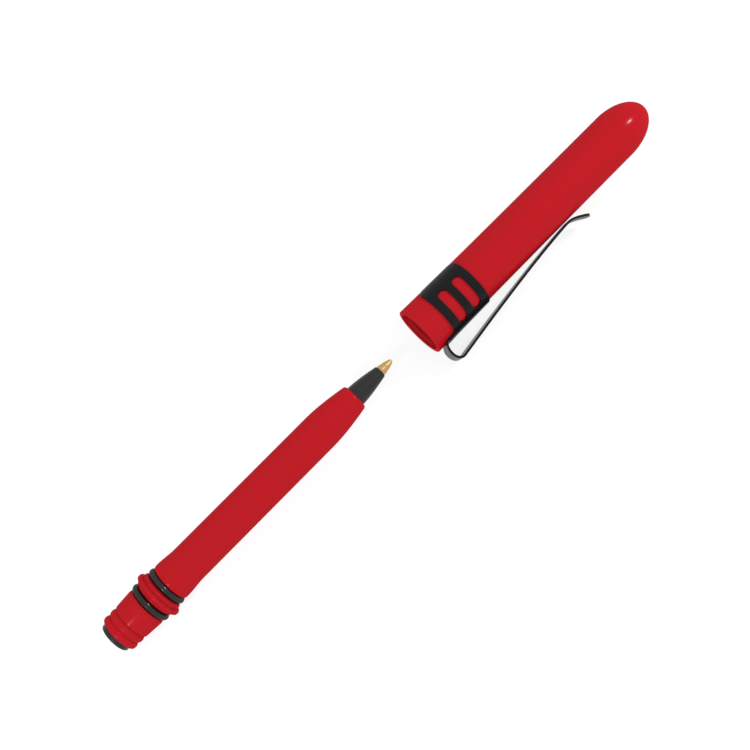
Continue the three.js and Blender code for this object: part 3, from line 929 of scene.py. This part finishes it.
@dataclass
class Cap(TurnedPart):
    """The bullet-shaped cap: flared mouth, lead-in, bore and domed end."""

    skin: CapSkin = CapSkin()
    length: float = 80.09
    dome: float = 10.5
    bore: float = 5.39
    wall: float = 0.92
    end_wall: float = 1.77
    lead_in: float = 5.6
    lead_in_depth: float = 1.4
    lead_in_slope: float = 0.9
    mouth_rounding: float = 0.36
    mouth_length: float = 0.6
    lip_rounding: float = 0.6

    def outline(self) -> np.ndarray:
        """Draws the cap from the rim of its mouth to the dome, and back through its bore.

        Returns:
            Rows of (along, radius).
        """
        dome_start = self.length - self.dome
        depth = self.length - self.end_wall
        inner_dome = self.dome - self.wall
        return rounded(
            (0, self.skin.at(0), self.mouth_rounding),
            *curve(self.mouth_length, dome_start, self.skin.at, steps=60),
            *arc((dome_start, 0), (self.dome, self.skin.at(dome_start)), 90, 0, steps=48)[1:],
            *arc((depth - inner_dome, 0), (inner_dome, self.bore), 0, 90, steps=24),
            (self.lead_in_depth, self.bore, self.small_rounding),
            (self.lead_in_depth - self.lead_in_slope, self.lead_in, self.small_rounding),
            (0, self.lead_in, self.lip_rounding),
        )

    def build(self, wardrobe: Wardrobe) -> None:
        """Makes the cap, and installs it with its finish from the wardrobe."""
        self.turn(wardrobe, "cap_moulding", self.outline(), Slot.RED_PLASTIC, Body.CAP, "cap_shell")


@dataclass
class Clip:
    """The spring clip, one strip of sheet: a slotted collar round the cap, a leg, a bend, an arm and a lifted tip.

    The arm is drawn thicker than the collar and narrows towards its tip. The fields called pull, rise and lean are
    shares that place the control points of the strip's curves.
    """

    axis: Axis
    roll: float
    skin: CapSkin = CapSkin()
    sheet: float = 0.38
    arm_sheet: float = 0.6
    thickening_start: float = 0.2
    clearance: float = 0.03
    setback: float = 5.82
    length: float = 11.6
    half_angle: float = 160.0
    corner: float = 1.8
    slot_width: float = 2.7
    slot_spacing: float = 4.67
    slot_from: float = 36.0
    slot_to: float = 119.3
    strip: float = 7.0
    arm_end: float = 3.4
    root_fillet: float = 1.1
    leg_clearance: float = 0.05
    leg_pull: float = 0.9
    bend_drop: float = 4.27
    bend_height: float = 4.57
    bend_return: float = 2.1
    bend_share: float = 0.5
    bend_steps: int = 22
    lower_pull: float = 0.25
    lower_rise: float = 0.13
    upper_pull: float = 0.25
    shoulder_pull: float = 0.68
    shoulder_lean: float = 1.8
    uncurl_share: float = 0.62
    arm_length: float = 43.37
    arm_gap: float = 0.2
    arm_steps: int = 60
    arm_start_pull: float = 0.32
    arm_start_lean: float = 1.31
    arm_end_pull: float = 0.24
    arm_end_lean: float = 0.34
    tip_length: float = 5.85
    tip_lift: float = 2.6
    tip_steps: int = 28
    tip_start_pull: float = 0.3
    tip_end_pull: float = 0.55
    tip_end_rise: float = 0.36
    tip_corner: float = 1.6
    edge_bevel: float = 0.07
    bevel_angle: float = 50.0
    columns: int = 16
    corner_columns: int = 9
    plain_columns: int = 12
    slot_columns: int = 26
    band_rows: int = 8
    leg_rows: int = 6

    @property
    def middle(self) -> float:
        """Middle of the collar along the cap."""
        return self.setback + self.length / 2

    @property
    def bend(self) -> float:
        """Outermost place of the bend along the cap."""
        return self.setback - self.bend_drop

    @property
    def leg_height(self) -> float:
        """Distance of the leg's middle line from the cap's axis."""
        return self.skin.at(self.bend) + self.leg_clearance + self.sheet / 2

    @property
    def split_height(self) -> float:
        """Distance of the bend's middle from the cap's axis, where the clip flexes."""
        return self.leg_height + self.bend_height * self.bend_share

    def sheet_radius(self, along: Values) -> Values:
        """Radius of the middle of the collar's sheet."""
        return self.skin.at(along) + self.clearance + self.sheet / 2

    @property
    def band_radius(self) -> float:
        """Radius of the collar's sheet at the middle of its length."""
        return self.sheet_radius(self.middle)

    def world(self, points: np.ndarray) -> np.ndarray:
        """Turns points given as (along, across, out from the cap) down by the clip's roll, and into the frame.

        Args:
            points: An array whose last axis holds millimetres along, across and out.

        Returns:
            The points in metres in the frame.
        """
        along, across, out = np.moveaxis(points, -1, 0)
        side = -out * math.cos(self.roll) - across * math.sin(self.roll)
        up = -out * math.sin(self.roll) + across * math.cos(self.roll)
        return self.axis.place(np.stack((along, side, up), axis=-1))

    def band_angles(self) -> np.ndarray:
        """Chooses the angles of the collar's columns, with the ends, the slots and the strip's root all on a column.

        Returns:
            Angles in radians from the clip, in order and without repeats.
        """
        quarter = 1 - np.cos(np.radians(np.linspace(0, 90, self.corner_columns)))
        corner = np.radians(self.half_angle) - self.corner * quarter / self.band_radius
        end = self.slot_width / 2 * quarter / self.band_radius
        slot_start = np.radians(self.slot_from) + end
        slot_stop = np.radians(self.slot_to) - end
        plain = np.linspace(corner.min(), slot_stop.max(), self.plain_columns)
        inside = np.linspace(slot_start.max(), slot_stop.min(), self.slot_columns)
        half = np.concatenate((corner, plain, slot_start, slot_stop, inside))
        root = self.root_angles()
        half = half[half > root.max() + NEAR]
        return np.unique(np.round(np.concatenate((-half, root, half)), ANGLE_DIGITS))

    def root_angles(self) -> np.ndarray:
        """Angles of the strip's columns where it leaves the collar."""
        reach = (self.strip / 2 + self.root_fillet) / self.sheet_radius(self.setback)
        return np.round(np.linspace(-reach, reach, self.columns + 1), ANGLE_DIGITS)

    def slot_half(self, angle: np.ndarray) -> np.ndarray:
        """Half the width of a slot: 0 outside it, and each of its ends a half circle.

        Args:
            angle: Angles in radians from the clip.

        Returns:
            Half the width at each angle.
        """
        start, stop = np.radians((self.slot_from, self.slot_to))
        from_end = np.minimum(np.abs(angle) - start, stop - np.abs(angle)) * self.band_radius
        return np.where(from_end > NEAR, round_off(from_end, self.slot_width / 2), 0)

    def reach(self, angle: np.ndarray) -> np.ndarray:
        """Half the collar's length at each angle in radians from the clip: its free corners are round."""
        from_end = (math.radians(self.half_angle) - np.abs(angle)) * self.band_radius
        return self.length / 2 - self.corner + round_off(from_end, self.corner)

    def collar_bands(self) -> list[np.ndarray]:
        """Lays the collar's middle surface out as three bands that part round the slots and meet elsewhere.

        Returns:
            A grid of points in metres for each band.
        """
        angle = self.band_angles()
        half = self.slot_half(angle)
        reach = self.reach(angle)
        lower = self.middle - self.slot_spacing / 2
        upper = self.middle + self.slot_spacing / 2
        edges = (
            (self.middle - reach, lower - half),
            (lower + half, upper - half),
            (upper + half, self.middle + reach),
        )
        share = np.linspace(0, 1, self.band_rows)[:, None]
        grids = []
        for low, high in edges:
            along = low + (high - low) * share
            radius = self.sheet_radius(along)
            points = np.stack((along, radius * np.sin(angle), radius * np.cos(angle)), axis=-1)
            grids.append(self.world(points))
        return grids

    @staticmethod
    def bezier(corners: Sequence[Sequence[float]], steps: int) -> np.ndarray:
        """Samples a cubic curve from its four control points.

        Args:
            corners: Four rows of (along, out).
            steps: Number of chords.

        Returns:
            Rows of (along, out).
        """
        share = np.linspace(0, 1, steps + 1)[:, None]
        a, b, c, d = np.array(corners, dtype=float)
        rest = 1 - share
        return rest**3 * a + 3 * rest**2 * share * b + 3 * rest * share**2 * c + share**3 * d

    def middle_line(self) -> np.ndarray:
        """Draws the strip's middle line from the flat of the leg round the bend to the tip, as four cubic curves.

        Returns:
            Rows of (along, out).
        """
        kink_along = self.bend + self.arm_length
        kink_out = self.skin.at(kink_along) + self.arm_gap + self.arm_sheet / 2
        kink = (kink_along, kink_out)
        foot = (self.bend + self.bend_return, self.leg_height + self.bend_height)
        reach = kink_along - foot[0]
        slope = (foot[1] - kink_out) / reach
        handle = self.bend_return * self.shoulder_pull
        start, end = reach * self.arm_start_pull, reach * self.arm_end_pull
        lower = (
            (self.bend + self.bend_return * self.leg_pull, self.leg_height),
            (self.bend + self.bend_return * self.lower_pull, self.leg_height),
            (self.bend, self.leg_height + self.bend_height * self.lower_rise),
            (self.bend, self.split_height),
        )
        upper = (
            (self.bend, self.split_height),
            (self.bend, foot[1] - self.bend_height * self.upper_pull),
            (foot[0] - handle, foot[1] + handle * slope * self.shoulder_lean),
            foot,
        )
        arm = (
            foot,
            (foot[0] + start, foot[1] - start * slope * self.arm_start_lean),
            (kink_along - end, kink_out + end * slope * self.arm_end_lean),
            kink,
        )
        tip = (
            kink,
            (kink_along + self.tip_length * self.tip_start_pull, kink_out),
            (kink_along + self.tip_length * self.tip_end_pull, kink_out + self.tip_lift * self.tip_end_rise),
            (kink_along + self.tip_length, kink_out + self.tip_lift),
        )
        steps = (self.bend_steps, self.bend_steps, self.arm_steps, self.tip_steps)
        return np.vstack([self.bezier(*stretch)[1:] for stretch in zip((lower, upper, arm, tip), steps)])

    def strip_grid(self) -> np.ndarray:
        """Lays out the strip's middle surface, from the collar's edge to the tip.

        The strip leaves the collar curled round the cap and flattens in the first part of the bend. Its root is
        filleted into the collar, its arm narrows evenly, and its tip has round corners.

        Returns:
            A grid of points in metres.
        """
        leg_length = self.setback - self.bend - self.bend_return * self.leg_pull
        fillet_down = self.root_fillet * (1 - np.sin(np.radians(np.linspace(90, 0, self.leg_rows))))
        down = np.concatenate((fillet_down, np.linspace(self.root_fillet, leg_length, self.leg_rows)[1:]))
        leg_along = self.setback - down
        blend = ease(down / leg_length)
        leg_out = self.sheet_radius(leg_along) * (1 - blend) + self.leg_height * blend
        line = np.vstack((np.column_stack((leg_along, leg_out)), self.middle_line()))
        order = np.arange(len(line)) - len(down)
        curl = 1 - ease(np.clip((order + 1) / (self.uncurl_share * self.bend_steps), 0, 1))
        taper = np.clip((line[:, 0] - self.setback) / self.arm_length, 0, 1) * (order > self.bend_steps)
        half = (self.strip + (self.arm_end - self.strip) * taper) / 2
        half[: len(down)] += self.root_fillet - round_off(down, self.root_fillet)
        half += round_off(np.linalg.norm(line - line[-1], axis=1), self.tip_corner) - self.tip_corner
        offset = half[:, None] * np.linspace(-1, 1, self.columns + 1)
        out = line[:, 1:]
        angle = offset / out
        across = offset + (out * np.sin(angle) - offset) * curl[:, None]
        height = out + (out * np.cos(angle) - out) * curl[:, None]
        along = np.repeat(line[:, :1], self.columns + 1, axis=1)
        return self.world(np.stack((along, across, height), axis=-1))

    def build(self, wardrobe: Wardrobe) -> None:
        """Makes the clip as one sheet, thickens it, breaks its edges, and bakes its place into its mesh.

        Args:
            wardrobe: The finishes.
        """
        grids = [*self.collar_bands(), self.strip_grid()]
        mesh = weld([grid_mesh("spring_clip", grid) for grid in grids], SEAM_WELD)
        piece = link(mesh)
        thicken = piece.modifiers.new("sheet", "SOLIDIFY")
        thicken.thickness = self.arm_sheet * MM
        thicken.offset = 0
        thicken.vertex_group = self.weigh(piece).name
        thicken.thickness_vertex_group = self.sheet / self.arm_sheet
        bevel = piece.modifiers.new("broken_edges", "BEVEL")
        bevel.width = self.edge_bevel * MM
        bevel.segments = 2
        bevel.limit_method = "ANGLE"
        bevel.angle_limit = math.radians(self.bevel_angle)
        settled = bpy.data.meshes.new_from_object(piece.evaluated_get(bpy.context.evaluated_depsgraph_get()))
        piece.modifiers.clear()
        piece.data = settled
        bpy.data.meshes.remove(mesh)
        settled.name = piece.name
        smooth(settled)
        wardrobe.dress(piece, Slot.BLACK_STEEL)
        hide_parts("clip_collar", "clip_arm")
        self.flex(piece)
        log.info("%s: %d faces across %s and %s", piece.name, len(settled.polygons), Body.CAP.value, Body.CLIP.value)

    def weigh(self, piece: Object) -> VertexGroup:
        """Marks where the strip has its full thickness: it grows as the strip rises from the cap, in steps of 0.1.

        Args:
            piece: The clip's middle surface.

        Returns:
            The group of points, with weights from 0 at the collar to 1 along the arm.
        """
        places = np.empty(len(piece.data.vertices) * 3)
        piece.data.vertices.foreach_get("co", places)
        along, side, up = (places.reshape(-1, 3) / MM - (self.axis.start, self.axis.side, self.axis.height)).T
        out = -side * math.cos(self.roll) - up * math.sin(self.roll)
        rise = np.clip(out - self.leg_height - self.thickening_start, 0, 1)
        weight = np.round(np.where(along > self.setback + 2 * self.length, 1.0, rise), 1)
        group = piece.vertex_groups.new(name="full_thickness")
        for level in np.unique(weight).tolist():
            group.add(np.flatnonzero(weight == level).tolist(), level, "REPLACE")
        return group

    def flex(self, piece: Object) -> None:
        """Works out the ends of a short stretch across the middle of the bend, which are not used, and bakes the
        clip's place into its mesh.

        The stretch leans a little along the cap, so that the whole collar lies before it and the whole arm after it.

        Args:
            piece: The clip.
        """
        lean = 0.1
        spread = 0.7
        stretch = np.array(((-lean, 0.0, -1.0), (lean, 0.0, 1.0))) * spread / math.hypot(lean, 1)
        middle = np.array((self.bend, 0.0, self.split_height))
        start, end = self.world(stretch + middle)
        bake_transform(piece)


@dataclass
class Studio:
    """The pale floor, the soft light, and the camera at the photograph's angle.

    Lengths are in metres, but for the camera's sensor and the offset of the pen's axis from the image's middle.
    """

    centre: Vector
    distance: float = 0.2155
    focal_pixels: float = 900.0
    image_pixels: float = 750.0
    sensor: float = 36.0
    clip_start: float = 0.005
    tail_tilt: float = 5.7
    side_lean: float = 18.7
    axis_angle: float = 45.13
    axis_offset: float = 0.3
    ambient: float = 0.86
    floor_half: float = 2.0
    floor_roughness: float = 0.9
    floor_grey: float = 0.85
    floor_seen_grey: float = 0.22
    floor_glow: float = 0.808
    lamp_height: float = 0.25
    lamp_size: float = 0.045

    @property
    def out(self) -> Vector:
        """The direction from the pen's axis that the camera leans in, square to the axis."""
        lean = math.radians(self.side_lean)
        return Vector((0, -math.sin(lean), math.cos(lean)))

    def camera(self) -> None:
        """Sets up the camera, leaning to the tail and to the clip's side, with the pen aslant in the image."""
        tilt, turn = math.radians(self.tail_tilt), math.radians(self.axis_angle)
        ahead = Vector((1, 0, 0))
        back = self.out * math.cos(tilt) - ahead * math.sin(tilt)
        along = (ahead - back * ahead.dot(back)).normalized()
        across = back.cross(along)
        right = along * math.cos(turn) - across * math.sin(turn)
        up = along * math.sin(turn) + across * math.cos(turn)
        data = bpy.data.cameras.new("camera")
        data.sensor_width = self.sensor
        data.lens = self.sensor * self.focal_pixels / self.image_pixels
        data.clip_start = self.clip_start
        matrix = Matrix((right, up, back)).transposed().to_4x4()
        matrix.translation = self.centre + across * self.axis_offset * MM + back * self.distance
        camera = link(data)
        camera.matrix_world = matrix
        bpy.context.scene.camera = camera

    @staticmethod
    def seen(graph: Graph) -> NodeSocket:
        """Tells the rays that see the backdrop from those that carry light.

        Args:
            graph: The graph that the nodes are added to.

        Returns:
            A socket that is 1 for rays from the camera, a reflection or a clear piece.
        """
        path = graph.add("LightPath")
        ray = graph.math("MAXIMUM", path.outputs["Is Camera Ray"], path.outputs["Is Glossy Ray"])
        return graph.math("MAXIMUM", ray, path.outputs["Is Transmission Ray"])

    def world(self) -> None:
        """Lights the scene from all round, and shows white behind it to the camera and in reflections."""
        world = bpy.data.worlds.new("world")
        bpy.context.scene.world = world
        world.use_nodes = True
        graph = Graph(world.node_tree)
        graph.tree.nodes.clear()
        light = graph.add("Background", {"Color": WHITE, "Strength": self.ambient})
        white = graph.add("Background", {"Color": WHITE, "Strength": 1.0})
        mix = graph.add("MixShader", {0: self.seen(graph), 1: light.outputs[0], 2: white.outputs[0]})
        graph.add("OutputWorld", {0: mix.outputs[0]})

    def floor(self) -> None:
        """Lays a pale floor. To the camera it is mostly white, with a faint shadow of the object left on it."""
        sides = (-self.floor_half, self.floor_half)
        mesh = grid_mesh("floor", np.array([[(x, y, 0.0) for y in sides] for x in sides]))
        floor = link(mesh)
        material = bpy.data.materials.new("floor")
        material.use_nodes = True
        graph = Graph(material.node_tree)
        seen = self.seen(graph)
        shader = material.node_tree.nodes["Principled BSDF"]
        greys = [(grey, grey, grey, 1) for grey in (self.floor_grey, self.floor_seen_grey)]
        graph.feed(shader.inputs["Base Color"], graph.mix(seen, *greys))
        graph.feed(shader.inputs["Roughness"], self.floor_roughness)
        graph.feed(shader.inputs["Specular IOR Level"], 0.0)
        strength = graph.math("MULTIPLY", seen, self.floor_glow)
        glow = graph.add("Emission", {"Color": WHITE, "Strength": strength})
        total = graph.add("AddShader", {0: shader.outputs[0], 1: glow.outputs[0]})
        graph.feed(material.node_tree.nodes["Material Output"].inputs["Surface"], total.outputs[0])
        mesh.materials.append(material)

    def lamp(self, name: str, along: float, power: float) -> None:
        """Hangs a small square lamp over one end of the pen, in the plane of the camera and the pen's axis.

        Args:
            name: The lamp's name.
            along: How far from the middle of the picture it hangs, in metres along the pen.
            power: Its power in watts.
        """
        data = bpy.data.lights.new(name, "AREA")
        data.size = self.lamp_size
        data.energy = power
        place = self.centre + Vector((along, 0, 0)) + self.out * self.lamp_height
        facing = (place - self.centre).to_track_quat("Z", "Y").to_matrix().to_4x4()
        link(data).matrix_world = Matrix.Translation(place) @ facing

    def build(self) -> None:
        """Builds the whole studio."""
        self.camera()
        self.world()
        self.floor()
        self.lamp("tail_lamp", along=-0.23, power=0.21)
        self.lamp("dome_lamp", along=0.326, power=0.6)
        bpy.context.scene.view_settings.view_transform = "Standard"


def middle_of(node: str) -> tuple[float, float]:
    """Side and height of a turned node's axis, in millimetres, from its box."""
    low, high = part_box(node)
    return (low.y + high.y) / 2 / MM, (low.z + high.z) / 2 / MM


def main() -> None:
    """Builds the pen and its studio."""
    logging.basicConfig(level=logging.INFO, format="%(name)s: %(message)s")
    side, height = middle_of("barrel")
    barrel_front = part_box("barrel")[1].x / MM
    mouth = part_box("cap_shell")[0].x / MM
    flex_joint = next(joint for joint in frame["joints"] if joint["name"] == "clip_flex")
    roll = math.asin(flex_joint["axis"][1])
    pen_axis = Axis(barrel_front - PenBody.front, side, height)
    cap_axis = Axis(mouth, side, height)
    wardrobe = Wardrobe()
    wardrobe.build()
    for part in (PenBody(pen_axis), Refill(pen_axis), Cap(cap_axis), Clip(cap_axis, roll)):
        part.build(wardrobe)
    image_centre = 71.18
    centre = Vector(((pen_axis.start + image_centre) * MM, side * MM, height * MM))
    Studio(centre).build()


if __name__ == "__main__":
    main()
